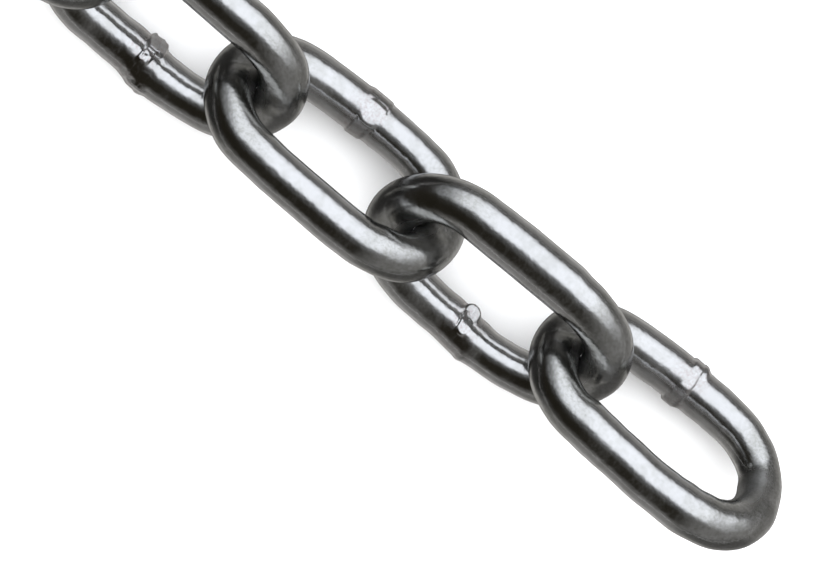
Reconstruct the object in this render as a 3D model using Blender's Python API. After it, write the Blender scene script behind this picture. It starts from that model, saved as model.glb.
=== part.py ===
# A cut length of welded steel link chain, laid out straight on a level floor.
#
# Every link is one piece of round wire, bent to an oval and butt welded in the middle of one leg.
# The welded leg bows out a little, the other is straight. The links lean at 45 degrees to the
# floor, turn and turn about, and each rests on its own weld.
# Metres, +Z up, +X from the last link towards the first. The origin is on the floor, under the
# middle of the chain.

import math

import bmesh
import bpy

# Driving dimensions
wire_diameter = 0.0070
inside_length = 0.0300
inside_width = 0.0127  # between the legs at the middle of the link, beside the weld
crown_radius = 0.0094  # of the wire's centreline, round each end of a link
weld_diameter = 0.0080
weld_length = 0.0034
weld_taper = 0.0009  # at each end of the weld, where it narrows to the wire
link_count = 10
link_clearance = 0.0003  # where two links bear on each other
first_lean = math.radians(135)  # about X, from the floor to the first link's plane
next_lean = math.radians(90)  # from each link's plane to the next one's, back and forth

# How finely the round stretches are cut
wire_sides = 16
half_crown_steps = 7  # from the tip of a crown to either leg
welded_leg_steps = 3  # on each side of the weld

# Worked out from the driving dimensions. In its own plane a link is long in X, with the centres
# of both crowns on Y = 0, the straight leg at +Y and the welded leg at -Y.
wire_radius = wire_diameter / 2
weld_radius = weld_diameter / 2
half_length = inside_length / 2 + wire_radius
crown_centre = half_length - crown_radius
welded_leg_out = inside_width + wire_diameter - crown_radius
pitch = inside_length - link_clearance

# A link's own origin is on the wire of the link before it, which is the axis that it swings about
middle_from_origin = half_length - wire_diameter - link_clearance

# The welded leg is a long arc that runs on smoothly into both crowns
bow_radius = (crown_centre**2 + welded_leg_out**2 - crown_radius**2) / (2 * (welded_leg_out - crown_radius))
bow_reach = math.atan2(crown_centre, bow_radius - welded_leg_out)


def clear_scene():
    for old in list(bpy.data.objects):
        bpy.data.objects.remove(old)


def spaced(start, end, steps):
    """The start of a stretch and the points inside it, at equal steps."""
    return [start + (end - start) * i / steps for i in range(steps)]


def bow_facing(distance):
    """How far the welded leg has turned at a distance along X from its middle."""
    return math.pi - math.asin(distance / bow_radius)


def bow_station(facing, radius):
    """A station on the welded leg."""
    centre_y = bow_radius - welded_leg_out
    return bow_radius * math.sin(facing), centre_y + bow_radius * math.cos(facing), facing, radius


def crown_facings(start, tip, end):
    """Round a crown, with a facing at its tip."""
    return spaced(start, tip, half_crown_steps) + spaced(tip, end, half_crown_steps)


def crown_station(facing, side):
    """A station on the crown at +X (side 1) or at -X (side -1)."""
    x = side * crown_centre + crown_radius * math.sin(facing)
    return x, crown_radius * math.cos(facing), facing, wire_radius


def centreline():
    """Once round a link as (x, y, facing, radius). A facing is the angle from +Y towards +X."""
    quarter_turn = math.pi / 2
    full_turn = 2 * math.pi
    bow_start = math.pi - bow_reach
    bow_end = math.pi + bow_reach
    weld_edge = bow_facing(weld_length / 2)
    weld_top = bow_facing(weld_length / 2 - weld_taper)
    first_crown = crown_facings(0, quarter_turn, bow_start)
    run_in = spaced(bow_start, weld_edge, welded_leg_steps) + [weld_edge]
    run_out = spaced(full_turn - weld_edge, bow_end, welded_leg_steps)
    last_crown = crown_facings(bow_end, full_turn - quarter_turn, full_turn) + [full_turn]
    stations = [crown_station(facing, 1) for facing in first_crown]
    stations += [bow_station(facing, wire_radius) for facing in run_in]
    stations += [bow_station(facing, weld_radius) for facing in (weld_top, full_turn - weld_top)]
    stations += [bow_station(facing, wire_radius) for facing in run_out]
    stations += [crown_station(facing, -1) for facing in last_crown]
    return stations


def section_ring(bm, station):
    """The wire's section at a station, with a flat facing out and one at every 45 degrees."""
    x, y, facing, radius = station
    ring = []
    for side in range(wire_sides):
        turn = 2 * math.pi * (side + 0.5) / wire_sides
        out = radius * math.cos(turn)
        place = (
            x + out * math.sin(facing) - middle_from_origin,
            y + out * math.cos(facing),
            radius * math.sin(turn),
        )
        ring.append(bm.verts.new(place))
    return ring


def link_mesh():
    """One link, flat in its own XY plane; its straight leg closes the loop of rings."""
    bm = bmesh.new()
    rings = [section_ring(bm, station) for station in centreline()]
    for here, there in zip(rings, rings[1:] + rings[:1]):
        for side in range(wire_sides):
            after = (side + 1) % wire_sides
            bm.faces.new((here[side], there[side], there[after], here[after]))
    bmesh.ops.recalc_face_normals(bm, faces=bm.faces)
    mesh = bpy.data.meshes.new("link")
    bm.to_mesh(mesh)
    bm.free()
    mesh.shade_smooth()
    mesh.set_sharp_from_angle(angle=math.radians(40))
    return mesh


def bright_steel():
    material = bpy.data.materials.new("bright_steel")
    material.use_nodes = True
    shader = material.node_tree.nodes["Principled BSDF"]
    shader.inputs["Base Color"].default_value = (0.42, 0.42, 0.43, 1)
    shader.inputs["Metallic"].default_value = 1.0
    shader.inputs["Roughness"].default_value = 0.25
    return material


def chain_height():
    """From the floor to the chain's axis, with the flat under each weld on the floor."""
    weld_top = bow_station(bow_facing(weld_length / 2 - weld_taper), weld_radius)
    leg_drop = -weld_top[1] * math.sin(math.pi / 4)
    return leg_drop + weld_radius * math.cos(math.pi / wire_sides)


def build_chain():
    """Each link hangs on the one before it, and swings about that one's Y axis."""
    mesh = link_mesh()
    mesh.materials.append(bright_steel())
    before = None
    for number in range(1, link_count + 1):
        link = bpy.data.objects.new(f"link_{number:02d}", mesh)
        if before is None:
            first_x = pitch * (link_count - 1) / 2 + middle_from_origin
            link.location = (first_x, 0, chain_height())
            link.rotation_euler.x = first_lean
        else:
            link.parent = before
            link.location = (-pitch, 0, 0)
            link.rotation_euler.x = -next_lean if number % 2 == 0 else next_lean
        bpy.context.scene.collection.objects.link(link)
        before = link


clear_scene()
build_chain()
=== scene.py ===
import math
import random

import bmesh
import bpy
from mathutils import Matrix, Vector, noise


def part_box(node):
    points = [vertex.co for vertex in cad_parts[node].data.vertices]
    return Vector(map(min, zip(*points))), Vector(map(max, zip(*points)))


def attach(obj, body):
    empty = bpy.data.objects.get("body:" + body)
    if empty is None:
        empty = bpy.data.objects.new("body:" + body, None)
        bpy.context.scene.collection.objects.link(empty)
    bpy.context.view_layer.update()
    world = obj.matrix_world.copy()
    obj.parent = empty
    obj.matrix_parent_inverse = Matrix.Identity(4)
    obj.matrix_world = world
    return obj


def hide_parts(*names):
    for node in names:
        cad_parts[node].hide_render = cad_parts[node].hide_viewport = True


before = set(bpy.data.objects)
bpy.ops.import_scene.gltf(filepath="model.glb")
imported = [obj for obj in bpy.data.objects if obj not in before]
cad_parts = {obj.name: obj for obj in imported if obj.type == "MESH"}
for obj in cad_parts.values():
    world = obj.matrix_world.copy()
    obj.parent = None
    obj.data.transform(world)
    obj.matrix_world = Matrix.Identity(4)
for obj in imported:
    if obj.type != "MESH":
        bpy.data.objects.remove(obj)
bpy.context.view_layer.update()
print("chain frame loaded:", len(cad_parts), "links")

# One link. Lengths are in metres, and a fade is where it starts and where it ends.
linkShape = {
    "wireRadius": 0.0035,
    "insideLength": 0.0300,
    "insideWidth": 0.0127,  # beside the weld
    "crownRadius": 0.0094,  # of the wire's middle line
    "axisHeight": 0.011202,  # of the chain's middle line above the floor
    "lean": 135,  # degrees about X, of the odd links; the even ones lean as far the other way
    "sides": 128,
    "fineStep": 0.00013,  # between rings near the weld
    "fineReach": 0.0040,
    "coarseStep": 0.00062,
    "waver": 0.00004,  # how far the drawn wire strays from its true line
    "waverScale": 1.6,  # about ten waves round a link
    "waverSeed": 7,
    "swell": 0.000018,  # how far its thickness strays
    "swellScale": 260,  # waves of it to a metre
    "bendFade": (0.003, 0.004),  # outside and inside each end of a crown
    "bearing": 0.00014,  # the thicker inner side of each crown, where two links bear on each other
    "bearingFade": (0.003, 0.007),  # along the wire, from the crown's tip
    "bearingRound": (0.1, 0.7),  # round the wire, by how far it faces into the link
    "bearingDull": 0.7,
    "heatFade": (0.0012, 0.0045),  # from the middle of the weld
}

halfLength = linkShape["insideLength"] / 2 + linkShape["wireRadius"]
crownCentre = halfLength - linkShape["crownRadius"]
weldedLegOut = linkShape["insideWidth"] + 2 * linkShape["wireRadius"] - linkShape["crownRadius"]
bowRadius = (crownCentre**2 + weldedLegOut**2 - linkShape["crownRadius"] ** 2) / (
    2 * (weldedLegOut - linkShape["crownRadius"])
)
bowReach = math.atan2(crownCentre, bowRadius - weldedLegOut)
halfBow = bowRadius * bowReach
crownLength = linkShape["crownRadius"] * (math.pi - bowReach)
crownTip = halfBow + linkShape["crownRadius"] * (math.pi / 2 - bowReach)
wireLength = 2 * halfBow + 2 * crownLength + 2 * crownCentre


def smooth(low, high, value):
    t = min(1.0, max(0.0, (value - low) / (high - low)))
    return t * t * (3 - 2 * t)


def turnBetween(a, b):  # degrees, -180 to 180
    return (a - b + 180) % 360 - 180


def wireAt(distance):  # place and outward angle of the wire, from the weld round by +X
    if distance < halfBow or distance > wireLength - halfBow:
        fromWeld = distance if distance < halfBow else distance - wireLength
        facing = math.pi - fromWeld / bowRadius
        centre = (0.0, bowRadius - weldedLegOut)
        radius = bowRadius
    elif distance < halfBow + crownLength:
        facing = math.pi - bowReach - (distance - halfBow) / linkShape["crownRadius"]
        centre = (crownCentre, 0.0)
        radius = linkShape["crownRadius"]
    elif distance < halfBow + crownLength + 2 * crownCentre:
        along = crownCentre - (distance - halfBow - crownLength)
        return along, linkShape["crownRadius"], 0.0
    else:
        facing = -(distance - halfBow - crownLength - 2 * crownCentre) / linkShape["crownRadius"]
        centre = (-crownCentre, 0.0)
        radius = linkShape["crownRadius"]
    return centre[0] + radius * math.sin(facing), centre[1] + radius * math.cos(facing), facing


# How each link strays from its true shape, in millimetres as seen from above: the place along the
# wire from the weld (+ towards the first link's end), how far the wire's outer edge moves out, and
# how far its inner edge moves in.
linkStray = {
    1: [
        (-44, -0.20, 0.16), (-41, -0.29, 0.38), (-38, -0.50, 0.60), (-34.5, -0.40, 0.1),
        (-30, -0.1, 0), (-24, 0, 0), (-18, 0, 0), (-10, 0, 0), (-6, -0.08, 0.28), (-3, -0.08, 0.15),
        (3, -0.28, 0.12), (6, -0.12, -0.12), (10, -0.11, -0.38), (14, -0.44, -0.22),
        (18, -0.72, -0.22), (22, -0.76, -0.12), (26, -0.30, 0.12), (30, -0.06, 0.20),
        (33, -0.08, 0.30), (36, -0.22, 0.50), (39, -0.02, 0.32), (42, 0, 0.02), (45, 0.08, -0.10),
    ],
    2: [
        (-46, 0.35, 0.20), (-42, 0.20, 0.24), (-39, 0.05, 0.26), (-35, -0.08, 0.1), (-30, -0.1, 0),
        (-24, 0, 0), (-18, -0.1, 0), (-12, 0.2, -0.1), (-9, 0.32, -0.3), (-5, 0.10, -0.32),
        (-2.5, -0.04, -0.22), (2.5, 0.3, -0.6), (5, 0.12, -0.88), (8, 0.12, -0.75),
        (12, -0.15, -0.3), (16, -0.2, 0), (22, -0.38, 0), (26, -0.1, 0), (31, 0, 0),
        (36, -0.2, 0.2), (39, 0.02, 0.2), (42, 0.34, 0.16),
    ],
    3: [
        (-46, 0, -0.22), (-42, -0.08, -0.15), (-38, -0.28, 0.1), (-34, -0.05, 0), (-30, -0.1, 0),
        (-24, -0.12, 0), (-18, 0, 0), (-10, 0.18, 0.1), (-6, 0.05, 0), (-3, 0.03, 0),
        (3, 0.08, -0.3), (6, 0.14, -0.54), (9, 0.3, -0.66), (12, 0.42, -0.3), (16, 0.2, 0),
        (22, -0.16, 0), (26, -0.22, 0), (31, 0, 0), (36, -0.2, 0.2), (39, 0, -0.2),
        (42, 0.12, -0.30),
    ],
    4: [
        (-44, 0, 0), (-38, -0.3, 0.2), (-30, -0.1, 0), (-24, 0, 0), (-18, 0, 0), (-10, 0.16, -0.1),
        (-6, -0.24, 0.14), (-2, -0.38, 0.44), (1, -0.1, 0.2), (4.5, 0.15, -0.16), (8, 0, -0.3),
        (12, -0.1, -0.1), (22, -0.4, 0), (26, -0.1, 0), (31, 0, 0), (36.5, -0.48, 0.3),
        (40, -0.2, 0.2),
    ],
}


def strayAt(number, fromWeld):  # millimetres
    notes = linkStray[(number - 1) % len(linkStray) + 1]
    whole = wireLength * 1000
    looped = [(notes[-1][0] - whole,) + notes[-1][1:]] + notes + [(notes[0][0] + whole,) + notes[0][1:]]
    for (a, outA, inA), (b, outB, inB) in zip(looped, looped[1:]):
        if a <= fromWeld <= b:
            t = smooth(a, b, fromWeld)
            return outA + (outB - outA) * t, inA + (inB - inA) * t
    return 0.0, 0.0


def ringDistances():
    fine, reach = linkShape["fineStep"], linkShape["fineReach"]
    fineCount = round(reach / fine)
    coarseCount = round((wireLength - 2 * reach) / linkShape["coarseStep"])
    coarse = (wireLength - 2 * reach) / coarseCount
    distances = [fine * (i + 0.5) for i in range(fineCount)]
    distances += [fine * fineCount + coarse * (i + 0.5) for i in range(coarseCount)]
    distances += [wireLength - fine * (i + 0.5) for i in reversed(range(fineCount))]
    return distances


# Welds, in millimetres along the wire from the middle of the leg (+ towards the first link's end)
# and degrees round it: 0 up, 90 away from the chain, 180 down, -90 into the link.
# A band: start, its edge, end, its edge, middle turn, half turn, its edge, height.
# A pad, a flatter place: middle, half length, turn it faces, flatness, height, low side, high side
# (turns), edge, squareness (2 is round).
# A crack: start, its turn, end, its turn, half width, depth.
# The dull place: start, end, middle turn, half turn, how dull.
weldKinds = {
    "trimmed": {
        "bands": [
            (-2.2, 2.4, 1.05, 0.30, 0, 60, 60, 0.08),
            (-0.65, 0.5, 1.95, 0.80, 92, 48, 34, 0.32),
            (0.95, 0.3, 1.60, 0.40, 96, 40, 26, 0.12),
            (-1.05, 0.7, 1.00, 1.00, -70, 50, 30, 0.18),
            (-1.10, 0.4, 1.60, 1.30, -94, 28, 26, 0.30),
        ],
        "pads": [(0.00, 1.05, 12, 0.5, 0.03, -20, 40, 0.50, 3.5)],
        "cracks": [(1.02, 40, 1.20, -14, 0.48, 0.06), (0.95, 38, 1.08, 60, 0.22, 0.14)],
        "dull": (-1.2, 1.4, -65, 46, 0.8),
    },
    "button": {
        "bands": [
            (-2.8, 1.6, 2.2, 1.8, 90, 180, 1, 0.02),
            (1.9, 0.9, 2.75, 0.8, 100, 44, 40, 0.17),
            (-0.90, 0.30, 1.50, 2.0, -14, 26, 18, 0.14),
        ],
        "pads": [
            (-0.10, 1.52, -28, 0.9, 0.24, -24, -71, 0.32, 2.4),
            (0.15, 0.95, -14, 0.85, 0.10, -40, 12, 0.30, 2.5),
        ],
        "cracks": [(-1.62, -64, -1.00, -2, 0.12, 0.24)],
        "dull": (1.3, 2.2, -60, 24, 0.5),
    },
    "collar": {
        "bands": [
            (-1.60, 0.9, 2.10, 0.5, 98, 50, 40, 0.22),
            (-1.05, 0.5, 1.45, 0.90, -70, 52, 22, 0.28),
        ],
        "pads": [(0.45, 1.50, 12, 0.6, 0.05, -22, 40, 0.40, 3.5)],
        "cracks": [(-1.15, -18, -0.85, -26, 0.20, 0.14), (1.92, 62, 2.02, 34, 0.15, 0.14)],
        "dull": (-1.2, 1.9, -65, 46, 0.8),
    },
    "burr": {
        "bands": [
            (-1.0, 0.8, 3.4, 1.6, 90, 180, 1, 0.04),
            (-0.45, 0.3, 1.40, 0.5, -20, 20, 14, 0.22),
            (0.6, 2.6, 3.2, 1.4, 92, 44, 46, 0.42),
            (1.15, 0.6, 2.10, 0.5, -56, 18, 16, 0.16),
        ],
        "pads": [
            (0.95, 1.65, -66, 0.85, 0.34, -36, -98, 0.14, 4),
            (0.55, 1.00, -20, 0.85, 0.18, -2, -40, 0.30, 3),
        ],
        "cracks": [(-0.75, -66, 0.10, -8, 0.13, 0.15), (1.55, -26, 1.05, -66, 0.14, 0.16)],
        "dull": (-0.6, 2.5, -64, 30, 1.0),
    },
}
weldSettings = {
    "kindOfLink": ["trimmed", "button", "collar", "burr"],  # in turn, from the first link
    "foot": (-1.5, 0.9, 1.5, 0.9, 180, 26, 34, 0.43),  # the band that each link rests on
    "fade": (3.4, 5.4),  # millimetres from the weld's middle
    "dullSideEdge": (10, 6),  # degrees inside and outside the sides of a dull place
    "dullEndEdge": (0.4, 0.3),  # millimetres outside and inside its ends
    "dullInside": [0.55, 0.0, 0.55, 0.0, 0.3, 0.1],  # inner side of the welded leg, in turn
    "dullInsideTurn": -92,
    "dullInsideRound": (44, 82),  # its fade in degrees from that turn
    "dullInsideFade": (7.5, 11.5),  # and in millimetres from the weld's middle
    "roughness": {"trimmed": 0.03, "button": 0.03, "collar": 0.03, "burr": 0.16},  # millimetres
    "roughScale": 900,  # waves to a metre
    "roughOctaves": (0.8, 2.1, 4),  # the fractal's H, lacunarity and octaves
    "wander": (0.16, 0.05),  # millimetres that a weld's edges stray, in long and in short waves
    "shift": 0.8,  # millimetres that a weld's marks move, from the fifth link on
    "spin": 25,  # degrees, likewise
    "spread": 0.35,  # how much their height differs
    "seed": 41,
}


def weldOf(number):
    kinds = weldSettings["kindOfLink"]
    name = kinds[(number - 1) % len(kinds)]
    weld = {part: list(marks) for part, marks in weldKinds[name].items()}  # a copy to change
    if number > len(kinds):
        chance = random.Random(weldSettings["seed"] + number)
        vary = weldSettings["spread"]
        mostShift, mostSpin = weldSettings["shift"], weldSettings["spin"]
        shift, spin = chance.uniform(-mostShift, mostShift), chance.uniform(-mostSpin, mostSpin)
        size = chance.uniform(1 - vary, 1 + vary * 0.5)
        weld["bands"] = [
            (b[0] + shift, b[1], b[2] + shift, b[3], b[4] + spin, b[5], b[6], b[7] * size)
            for b in weld["bands"]
        ]
        weld["pads"] = [
            (q[0] + shift, q[1], q[2] + spin, q[3], q[4] * size, q[5] + spin, q[6] + spin, q[7], q[8])
            for q in weld["pads"]
        ]
        weld["cracks"] = [
            (c[0] + shift, c[1] + spin, c[2] + shift, c[3] + spin, c[4], c[5]) for c in weld["cracks"]
        ]
    weld["bands"].append(weldSettings["foot"])
    weld["roughness"] = weldSettings["roughness"][name]
    return weld


def bandHeight(band, along, turn):  # millimetres
    start, startEdge, end, endEdge, middle, half, edge, proud = band
    reach = smooth(start - startEdge / 2, start + startEdge / 2, along)
    reach *= 1 - smooth(end - endEdge / 2, end + endEdge / 2, along)
    if half < 180:
        away = abs(turnBetween(turn, middle))
        reach *= 1 - smooth(half - edge / 2, half + edge / 2, away)
    return proud * reach


def padHeight(pad, along, turn):  # millimetres
    middle, halfLength, facing, flatness, proud, lowSide, highSide, edge, square = pad
    away = math.radians(turnBetween(turn, facing))
    if abs(away) > 1.2:  # radians: no pad reaches so far round
        return 0.0
    radius = linkShape["wireRadius"] * 1000
    low, high = (math.tan(math.radians(turnBetween(side, facing))) for side in (lowSide, highSide))
    across = (math.tan(away) - (low + high) / 2) / ((high - low) / 2)
    outside = (abs((along - middle) / halfLength) ** square + abs(across) ** square) ** (1 / square)
    flat = flatness * radius * (1 / math.cos(away) - 1)
    return (flat + proud) * (1 - smooth(1 - edge, 1 + edge, outside))


def crackDepth(crack, along, turn):  # millimetres
    start, startTurn, end, endTurn, halfWidth, deep = crack
    perDegree = linkShape["wireRadius"] * 1000 * math.pi / 180
    x, y = end - start, turnBetween(endTurn, startTurn) * perDegree
    px, py = along - start, turnBetween(turn, startTurn) * perDegree
    t = min(1.0, max(0.0, (px * x + py * y) / (x * x + y * y)))
    return deep * (1 - smooth(0, halfWidth, math.hypot(px - t * x, py - t * y)))


def dullness(number, weld, along, turn):
    start, end, middle, half, most = weld["dull"]
    within, beyond = weldSettings["dullSideEdge"]
    across = 1 - smooth(half - within, half + beyond, abs(turnBetween(turn, middle)))
    beyond, within = weldSettings["dullEndEdge"]
    atWeld = smooth(start - beyond, start + within, along)
    atWeld *= 1 - smooth(end - within, end + beyond, along)
    fromInside = abs(turnBetween(turn, weldSettings["dullInsideTurn"]))
    inner = 1 - smooth(*weldSettings["dullInsideRound"], fromInside)
    inner *= 1 - smooth(*weldSettings["dullInsideFade"], abs(along))
    kinds = weldSettings["dullInside"]
    return max(most * across * atWeld, kinds[(number - 1) % len(kinds)] * inner)


def weldHeight(number, weld, along, turn, place):  # metres
    fade = 1 - smooth(*weldSettings["fade"], abs(along))
    if fade <= 0:
        return 0.0
    # the odd numbers in the noises' places only set one link and one noise apart from the next
    slow, quick = weldSettings["wander"]
    wander = slow * noise.noise(Vector((math.sin(math.radians(turn)) * 1.9, number * 3.1, 0.4)))
    wander += quick * noise.noise(Vector((turn * 0.11, number * 2.3, 1.7)))
    height = sum(bandHeight(band, along + wander, turn) for band in weld["bands"])
    height = max([height] + [padHeight(pad, along, turn) for pad in weld["pads"]])
    grainPlace = place * weldSettings["roughScale"] + Vector((7.3 * number, 0, 0))
    grain = noise.fractal(grainPlace, *weldSettings["roughOctaves"])
    height += weld["roughness"] * grain * fade * (0.15 + min(1.0, abs(height) * 2))
    height -= max([crackDepth(crack, along + wander, turn) for crack in weld["cracks"]], default=0.0)
    return height / 1000


def addRing(build, layers, number, weld, distance):  # one section of the wire
    radius, sides = linkShape["wireRadius"], linkShape["sides"]
    odd = number % 2 == 1
    u, v, facing = wireAt(distance)
    fromWeld = distance if distance < wireLength / 2 else distance - wireLength
    outside, inside = linkShape["bendFade"]
    bendEnd = halfBow + crownLength
    bend = smooth(halfBow - outside, halfBow + inside, abs(fromWeld))
    bend *= 1 - smooth(bendEnd - inside, bendEnd + outside, abs(fromWeld))
    weldNear = 1 - smooth(*linkShape["heatFade"], abs(fromWeld))
    nearTip = 1 - smooth(*linkShape["bearingFade"], abs(abs(fromWeld) - crownTip))
    around = distance / wireLength * 2 * math.pi
    seam = Vector((math.cos(around), math.sin(around), number * 2.7))
    stray = noise.noise_vector(seam * linkShape["waverScale"]) * linkShape["waver"] * (1 - nearTip)
    centre = Vector((u, v, 0)) + stray
    outward = Vector((math.sin(facing), math.cos(facing), 0))
    outer, inner = strayAt(number, fromWeld * 1000)
    inner *= 1 - nearTip
    across = math.cos(facing) if odd else -math.cos(facing)
    sideways = Vector((1.0, across)).normalized()  # level, away from the link's middle
    ring = []
    for side in range(sides):
        theta = 2 * math.pi * side / sides
        degrees = math.degrees(theta)
        turn = linkShape["lean"] + degrees if odd else linkShape["lean"] - degrees
        onWire = Vector((distance, radius * math.cos(theta), radius * math.sin(theta)))
        unevenness = noise.noise(onWire * linkShape["swellScale"] + Vector((0, 0, number * 5.3)))
        thick = radius + linkShape["swell"] * unevenness
        level = math.cos(theta) * sideways.x + math.sin(theta) * sideways.y
        thick += (outer * (1 + level) + inner * (1 - level)) / 2000  # from millimetres, half of each
        bearing = nearTip * smooth(*linkShape["bearingRound"], -math.cos(theta))
        thick += linkShape["bearing"] * bearing
        thick += weldHeight(number, weld, fromWeld * 1000, turn, onWire)
        point = centre + outward * (thick * math.cos(theta)) + Vector((0, 0, thick * math.sin(theta)))
        vert = build.verts.new(point)
        vert[layers["wirePlace"]] = onWire * 1000 + Vector((number * 137.0, 0, 0))
        vert[layers["bend"]] = bend
        vert[layers["weldNear"]] = weldNear
        besideWeld = dullness(number, weld, fromWeld * 1000, turn)
        vert[layers["dull"]] = max(besideWeld, linkShape["bearingDull"] * bearing)
        ring.append(vert)
    return ring


def linkMesh(number):
    build = bmesh.new()
    layers = {"wirePlace": build.verts.layers.float_vector.new("wirePlace")}
    for name in ("bend", "weldNear", "dull"):
        layers[name] = build.verts.layers.float.new(name)
    weld = weldOf(number)
    rings = [addRing(build, layers, number, weld, distance) for distance in ringDistances()]
    for here, there in zip(rings, rings[1:] + rings[:1]):
        for side in range(len(here)):
            after = (side + 1) % len(here)
            build.faces.new((here[side], here[after], there[after], there[side]))
    bmesh.ops.recalc_face_normals(build, faces=build.faces)
    mesh = bpy.data.meshes.new(f"wireLink{number:02d}")
    build.to_mesh(mesh)
    build.free()
    mesh.shade_smooth()
    return mesh


# Bright drawn steel, duller round the bends and tinted by heat beside the weld. Levels are the
# strength of a noise where its marks start and where they are full.
steelFinish = {
    "colour": (0.56, 0.56, 0.565, 1),
    "stain": (0.40, 0.40, 0.385, 1),
    "cloudLevels": (0.42, 0.66),
    "cloudStain": 0.45,  # how much the broad clouds stain
    "bendStain": 0.35,  # how much more the bends are stained
    "grainLevels": (0.44, 0.68),
    "grainStain": (0.08, 0.6),  # how much the grain stains, on the straights and on the bends
    "heat": (0.46, 0.42, 0.42, 1),  # in specks beside the weld
    "heatLevels": (0.46, 0.66),
    "edgeTint": (0.75, 0.75, 0.75, 1),  # at grazing angles
    "rough": 0.16,
    "roughOnBends": 0.19,
    "roughInGrain": 0.02,  # more or less, by the grain
    "roughLevels": (0.3, 0.7),
    "roughWhereDull": 0.34,  # more, at the ground places and where two links bear
    "lines": (0.015, 0.0002),  # fine ones along the wire: strength, and depth in metres
    "ripple": (0.07, 0.001),  # of the uneven drawn surface, likewise
    "specks": (0.015, 0.0001),  # small pits, likewise
    "lineStretch": 0.10,  # less is longer
}
# Noises over the steel: scale per millimetre, detail, roughness
steelNoises = {
    "cloudy": (0.42, 3, 0.55),
    "grain": (2.0, 4, 0.6),
    "lines": (5.0, 4, 0.6),
    "ripple": (0.6, 2, 0.5),
    "specks": (2.4, 5, 0.7),
}


def addNode(tree, kind, place, **settings):
    node = tree.nodes.new(kind)
    node.location = place
    for name, value in settings.items():
        setattr(node, name, value)
    return node


def noiseOn(tree, vector, scale, detail, rough, place):
    texture = addNode(tree, "ShaderNodeTexNoise", place)
    texture.inputs["Scale"].default_value = scale
    texture.inputs["Detail"].default_value = detail
    texture.inputs["Roughness"].default_value = rough
    tree.links.new(vector, texture.inputs["Vector"])
    return texture.outputs["Fac"]


def remap(tree, value, fromLow, fromHigh, toLow, toHigh, place):
    node = addNode(tree, "ShaderNodeMapRange", place)
    limits = {"From Min": fromLow, "From Max": fromHigh, "To Min": toLow, "To Max": toHigh}
    for name, number in limits.items():
        node.inputs[name].default_value = number
    tree.links.new(value, node.inputs["Value"])
    return node.outputs["Result"]


def blendColours(tree, factor, first, second, place):
    node = addNode(tree, "ShaderNodeMix", place, data_type="RGBA", clamp_factor=False)
    tree.links.new(factor, node.inputs["Factor"])
    for socket, colour in (("A", first), ("B", second)):
        target = next(i for i in node.inputs if i.name == socket and i.type == "RGBA")
        if isinstance(colour, tuple):
            target.default_value = colour
        else:
            tree.links.new(colour, target)
    return next(o for o in node.outputs if o.type == "RGBA")


def calculate(tree, operation, first, second, place, clamp=False):
    node = addNode(tree, "ShaderNodeMath", place, operation=operation, use_clamp=clamp)
    for socket, value in zip(node.inputs, (first, second)):
        if isinstance(value, (int, float)):
            socket.default_value = value
        else:
            tree.links.new(value, socket)
    return node.outputs[0]


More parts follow.
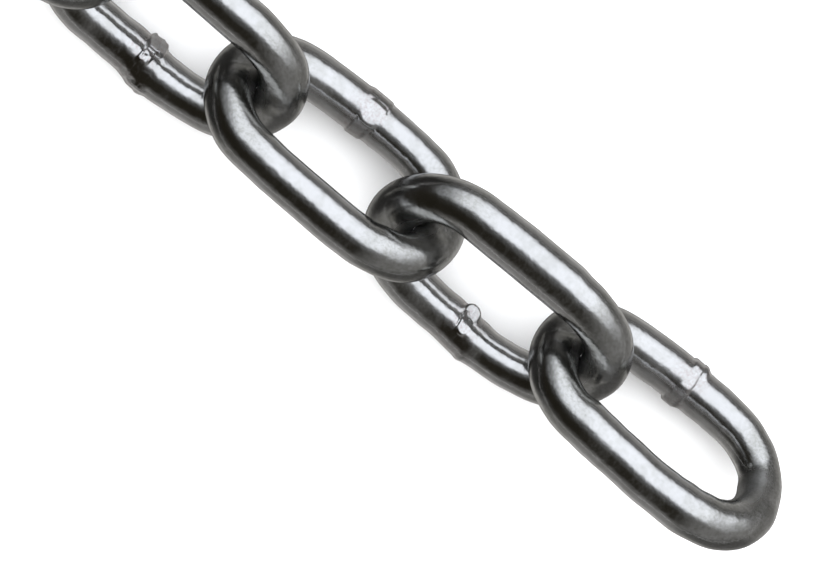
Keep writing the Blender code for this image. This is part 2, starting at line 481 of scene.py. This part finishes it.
def steelMaterial():
    material = bpy.data.materials.new("drawnSteel")
    material.use_nodes = True
    tree = material.node_tree
    shader = tree.nodes["Principled BSDF"]
    shader.location = (900, 0)
    shader.inputs["Metallic"].default_value = 1.0
    shader.inputs["Specular Tint"].default_value = steelFinish["edgeTint"]
    place = addNode(tree, "ShaderNodeAttribute", (-1400, 0), attribute_name="wirePlace")
    bend = addNode(tree, "ShaderNodeAttribute", (-1400, -300), attribute_name="bend")
    weld = addNode(tree, "ShaderNodeAttribute", (-1400, -600), attribute_name="weldNear")
    dull = addNode(tree, "ShaderNodeAttribute", (-1400, -900), attribute_name="dull")
    stretched = addNode(tree, "ShaderNodeMapping", (-1150, 200))
    stretched.inputs["Scale"].default_value = (steelFinish["lineStretch"], 1, 1)
    tree.links.new(place.outputs["Vector"], stretched.inputs["Vector"])
    marks = {}
    for row, (name, (scale, detail, rough)) in enumerate(steelNoises.items()):
        vector = (stretched if name == "lines" else place).outputs["Vector"]
        marks[name] = noiseOn(tree, vector, scale, detail, rough, (-900, 500 - 250 * row))

    cloudStain = steelFinish["cloudStain"]
    stained = remap(tree, marks["cloudy"], *steelFinish["cloudLevels"], 0.0, cloudStain, (-650, 500))
    bendStain = calculate(tree, "MULTIPLY", bend.outputs["Fac"], steelFinish["bendStain"], (-650, 300))
    grainStain = remap(tree, marks["grain"], *steelFinish["grainLevels"], 0.0, 1.0, (-650, 100))
    grainReach = remap(tree, bend.outputs["Fac"], 0.0, 1.0, *steelFinish["grainStain"], (-650, -100))
    grainStain = calculate(tree, "MULTIPLY", grainStain, grainReach, (-400, 50))
    stainSum = calculate(tree, "ADD", stained, bendStain, (-400, 450))
    stainAll = calculate(tree, "ADD", stainSum, grainStain, (-400, 250), clamp=True)
    colour = blendColours(tree, stainAll, steelFinish["colour"], steelFinish["stain"], (-150, 450))
    burnt = remap(tree, marks["specks"], *steelFinish["heatLevels"], 0.0, 1.0, (-650, -500))
    atWeld = calculate(tree, "MULTIPLY", burnt, weld.outputs["Fac"], (-400, -500))
    colour = blendColours(tree, atWeld, colour, steelFinish["heat"], (150, 450))
    tree.links.new(colour, shader.inputs["Base Color"])

    bendRough = (steelFinish["rough"], steelFinish["roughOnBends"])
    rough = remap(tree, bend.outputs["Fac"], 0, 1, *bendRough, (-150, 150))
    uneven = steelFinish["roughInGrain"]
    grainRough = remap(tree, marks["grain"], *steelFinish["roughLevels"], -uneven, uneven, (-150, -350))
    rough = calculate(tree, "ADD", rough, grainRough, (150, 50))
    whereDull = steelFinish["roughWhereDull"]
    dullRough = calculate(tree, "MULTIPLY", dull.outputs["Fac"], whereDull, (150, -200))
    rough = calculate(tree, "ADD", rough, dullRough, (400, -100))
    tree.links.new(rough, shader.inputs["Roughness"])

    normal = None
    for step, name in enumerate(("lines", "ripple", "specks")):
        strength, depth = steelFinish[name]
        bump = addNode(tree, "ShaderNodeBump", (150 + 250 * step, -450))
        bump.inputs["Strength"].default_value = strength
        bump.inputs["Distance"].default_value = depth
        tree.links.new(marks[name], bump.inputs["Height"])
        if normal:
            tree.links.new(normal, bump.inputs["Normal"])
        normal = bump.outputs["Normal"]
    tree.links.new(normal, shader.inputs["Normal"])
    return material


def buildLinks():
    steel = steelMaterial()
    noise.seed_set(linkShape["waverSeed"])  # or each run draws its own waver
    for number in range(1, len(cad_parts) + 1):
        node = f"link_{number:02d}"
        low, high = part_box(node)
        lean = math.radians(linkShape["lean"] if number % 2 == 1 else 180 - linkShape["lean"])
        link = bpy.data.objects.new(f"wireLink{number:02d}", linkMesh(number))
        middle = Vector(((low.x + high.x) / 2, 0, linkShape["axisHeight"]))
        link.matrix_world = Matrix.Translation(middle) @ Matrix.Rotation(lean, 4, "X")
        link.data.materials.append(steel)
        bpy.context.scene.collection.objects.link(link)
        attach(link, node)
        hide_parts(node)
    print("links built")


buildLinks()

# Floor and light. The camera sees the pale floor, and the steel mirrors the grey lower half of
# the sky in its place.
floorSettings = {
    "size": 60.0,
    "colour": (0.90, 0.90, 0.90, 1),
    "rough": 0.9,
}
# Places in the sky are the X, the Y or the height (Z) of a direction of length 1
lightSettings = {
    "softBoxLean": 40,  # degrees from straight up towards +Y
    "softBoxColour": (1.53, 1.59, 1.68, 1),
    # How bright the soft box is across (along X) and from its upper to its lower edge, by the
    # tangent of the angle from its middle
    "softBoxAcross": [
        (0.35, 1), (0.55, 0.82), (0.8, 0.48), (1.0, 0.30), (1.4, 0.14), (2.0, 0.05), (2.6, 0),
    ],
    "softBoxDown": [
        (-2.6, 0), (-1.45, 0.05), (-1.02, 0.12), (-0.84, 0.50), (-0.70, 0.92), (-0.5, 1), (0.36, 1),
        (0.56, 0.82), (0.72, 0.50), (0.86, 0.06), (1.0, 0),
    ],
    "softBoxSide": 0.15,  # cosine of the angle from its middle where it starts to fade, to none at 0
    "skyHigh": (0.024, 0.021, 0.015, 1),
    "skyLow": (0.81, 0.795, 0.77, 1),  # at the horizon and below it
    "skyLowHeight": 0.42,  # that it fades at
    "skyLowAlong": [(-0.68, 0.12), (-0.45, 0.6), (-0.28, 1), (0.3, 1), (0.6, 0.9)],  # by X
    "skyLowDown": [  # by Z
        (-1.0, 0.1), (-0.9, 0.8), (-0.8, 1.0), (-0.65, 0.68), (-0.5, 0.46), (-0.3, 0.38), (0.0, 0.33),
    ],
    "shade": 0.55,  # how much darker the grey is towards +X and -Y
    "shadeAlong": (0.2, 0.5),  # X where it starts and where it is full
    "shadeFront": (0.1, -0.2),  # Y, likewise
    "darkLine": 0.6,  # how much darker it is along the horizon towards +Y
    "darkLineHeight": (0.06, 0.28),  # above and below it, full and gone
    "darkLineBack": (0.5, 0.9),  # Y where it starts and where it is full
    "glow": (0.24, 0.24, 0.24, 1),  # towards +X
    "glowAlong": (0.12, 0.65),  # X where it starts and where it is full
    "glowHeight": (0.0, 0.25),  # height, likewise
    "farFloor": (1.0, 1.0, 1.0, 1),  # the strip just under the horizon, past the floor's edge
    "farFloorTop": (0.0, -0.003),  # height where it starts and where it is full
    "farFloorFoot": (-0.024, -0.016),
    "floorLightAngle": 150,
    "floorLightLean": 15,
    "floorLightPower": 5.9,  # on the floor only
}


def buildFloor():
    half = floorSettings["size"] / 2
    mesh = bpy.data.meshes.new("paleFloor")
    corners = [(-half, -half, 0), (half, -half, 0), (half, half, 0), (-half, half, 0)]
    mesh.from_pydata(corners, [], [(0, 1, 2, 3)])
    floor = bpy.data.objects.new("paleFloor", mesh)
    bpy.context.scene.collection.objects.link(floor)
    material = bpy.data.materials.new("palePaper")
    material.use_nodes = True
    shader = material.node_tree.nodes["Principled BSDF"]
    shader.inputs["Base Color"].default_value = floorSettings["colour"]
    shader.inputs["Roughness"].default_value = floorSettings["rough"]
    shader.inputs["Specular IOR Level"].default_value = 0.0
    mesh.materials.append(material)
    floor.visible_glossy = False


def ramp(tree, value, points, place):
    low, high = points[0][0], points[-1][0]
    across = remap(tree, value, low, high, 0.0, 1.0, place)
    node = addNode(tree, "ShaderNodeValToRGB", (place[0] + 200, place[1]))
    stops = node.color_ramp.elements
    for x, level in points[1:-1]:
        stops.new((x - low) / (high - low))
    for stop, (x, level) in zip(stops, points):
        stop.color = (level, level, level, 1)
    tree.links.new(across, node.inputs["Fac"])
    return node.outputs["Color"]


def addColours(tree, first, second, place):
    node = addNode(tree, "ShaderNodeMix", place, data_type="RGBA", blend_type="ADD")
    node.inputs["Factor"].default_value = 1.0
    ends = [i for i in node.inputs if i.type == "RGBA"]
    tree.links.new(first, ends[0])
    tree.links.new(second, ends[1])
    return next(o for o in node.outputs if o.type == "RGBA")


def softBoxLevel(tree, direction, x):
    lean = math.radians(lightSettings["softBoxLean"])
    towards = addNode(tree, "ShaderNodeVectorMath", (-1000, -500), operation="DOT_PRODUCT")
    towards.inputs[1].default_value = (0, math.sin(lean), math.cos(lean))
    down = addNode(tree, "ShaderNodeVectorMath", (-1000, -750), operation="DOT_PRODUCT")
    down.inputs[1].default_value = (0, math.cos(lean), -math.sin(lean))
    for node in (towards, down):
        tree.links.new(direction, node.inputs[0])
    front = calculate(tree, "MAXIMUM", towards.outputs["Value"], 0.05, (-800, -500))  # never 0
    sideways = calculate(tree, "ABSOLUTE", x, 0.0, (-800, -350))
    across = calculate(tree, "DIVIDE", sideways, front, (-600, -400))
    downwards = calculate(tree, "DIVIDE", down.outputs["Value"], front, (-600, -750))
    across = ramp(tree, across, lightSettings["softBoxAcross"], (-400, -400))
    downwards = ramp(tree, downwards, lightSettings["softBoxDown"], (-400, -750))
    level = calculate(tree, "MULTIPLY", across, downwards, (50, -500))
    side = lightSettings["softBoxSide"]
    facing = remap(tree, towards.outputs["Value"], 0.0, side, 0.0, 1.0, (-400, -1000))
    return calculate(tree, "MULTIPLY", level, facing, (250, -500))


def buildSky():
    world = bpy.data.worlds.new("darkStudio")
    bpy.context.scene.world = world
    world.use_nodes = True
    tree = world.node_tree
    where = addNode(tree, "ShaderNodeTexCoord", (-1400, 0))
    split = addNode(tree, "ShaderNodeSeparateXYZ", (-1200, 0))
    tree.links.new(where.outputs["Generated"], split.inputs[0])
    x, y, z = split.outputs
    black = (0.0, 0.0, 0.0, 1)

    # the grey sky low down: darker on the right in front, and along the horizon at the back
    along = ramp(tree, x, lightSettings["skyLowAlong"], (-900, 600))
    right = remap(tree, x, *lightSettings["shadeAlong"], 0.0, lightSettings["shade"], (-900, 900))
    front = remap(tree, y, *lightSettings["shadeFront"], 0.0, 1.0, (-900, 1150))
    shade = calculate(tree, "MULTIPLY", right, front, (-700, 1000))
    lit = calculate(tree, "SUBTRACT", 1.0, shade, (-500, 1000))
    lit = calculate(tree, "MULTIPLY", along, lit, (-300, 800))
    lift = ramp(tree, z, lightSettings["skyLowDown"], (-900, 450))
    lit = calculate(tree, "MULTIPLY", lit, lift, (-200, 600))
    fromHorizon = calculate(tree, "ABSOLUTE", z, 0.0, (-900, 1400))
    nearHorizon = remap(tree, fromHorizon, *lightSettings["darkLineHeight"], 1.0, 0.0, (-700, 1400))
    back = remap(tree, y, *lightSettings["darkLineBack"], 0.0, lightSettings["darkLine"], (-700, 1250))
    line = calculate(tree, "MULTIPLY", nearHorizon, back, (-500, 1300))
    line = calculate(tree, "SUBTRACT", 1.0, line, (-300, 1200))
    lit = calculate(tree, "MULTIPLY", lit, line, (-100, 900))
    low = blendColours(tree, lit, black, lightSettings["skyLow"], (-100, 700))
    lowDown = remap(tree, z, lightSettings["skyLowHeight"], 0.0, 0.0, 1.0, (-900, 300))
    colour = blendColours(tree, lowDown, lightSettings["skyHigh"], low, (100, 500))

    # on top of it the glow and the soft box
    glow = remap(tree, x, *lightSettings["glowAlong"], 0.0, 1.0, (-900, 50))
    above = remap(tree, z, *lightSettings["glowHeight"], 0.0, 1.0, (-900, -150))
    glow = calculate(tree, "MULTIPLY", glow, above, (-300, 0))
    glow = blendColours(tree, glow, black, lightSettings["glow"], (100, 100))
    colour = addColours(tree, colour, glow, (350, 300))
    level = softBoxLevel(tree, where.outputs["Generated"], x)
    box = blendColours(tree, level, black, lightSettings["softBoxColour"], (450, -400))
    colour = addColours(tree, colour, box, (650, 100))

    # and the strip that carries the floor on to the horizon
    under = remap(tree, z, *lightSettings["farFloorTop"], 0.0, 1.0, (350, -700))
    over = remap(tree, z, *lightSettings["farFloorFoot"], 0.0, 1.0, (350, -900))
    strip = calculate(tree, "MULTIPLY", under, over, (650, -800))
    colour = blendColours(tree, strip, colour, lightSettings["farFloor"], (850, 0))
    background = tree.nodes["Background"]
    background.location = (1100, 0)
    tree.nodes["World Output"].location = (1300, 0)
    tree.links.new(colour, background.inputs["Color"])


def buildLight():
    light = bpy.data.lights.new("floorLight", "SUN")
    light.angle = math.radians(lightSettings["floorLightAngle"])
    light.energy = lightSettings["floorLightPower"]
    sun = bpy.data.objects.new("floorLight", light)
    sun.rotation_euler.x = -math.radians(lightSettings["floorLightLean"])
    sun.visible_glossy = False
    bpy.context.scene.collection.objects.link(sun)
    buildSky()


buildFloor()
buildLight()
print("floor and light ready")

cameraSettings = {
    "place": (-0.02041, 0.012078, 0.910787),
    "turn": (-5.5908, -4.8095, 40.1054),  # degrees
    "lens": 280.591,
    "filmWidth": 36.0,
    "clip": (0.01, 200),
}


def buildCamera():
    data = bpy.data.cameras.new("photoCamera")
    data.sensor_width = cameraSettings["filmWidth"]
    data.sensor_fit = "HORIZONTAL"
    data.lens = cameraSettings["lens"]
    data.clip_start, data.clip_end = cameraSettings["clip"]
    camera = bpy.data.objects.new("photoCamera", data)
    camera.location = cameraSettings["place"]
    camera.rotation_euler = [math.radians(a) for a in cameraSettings["turn"]]
    bpy.context.scene.collection.objects.link(camera)
    bpy.context.scene.camera = camera


buildCamera()
bpy.context.scene.view_settings.view_transform = "Standard"
print("camera ready")
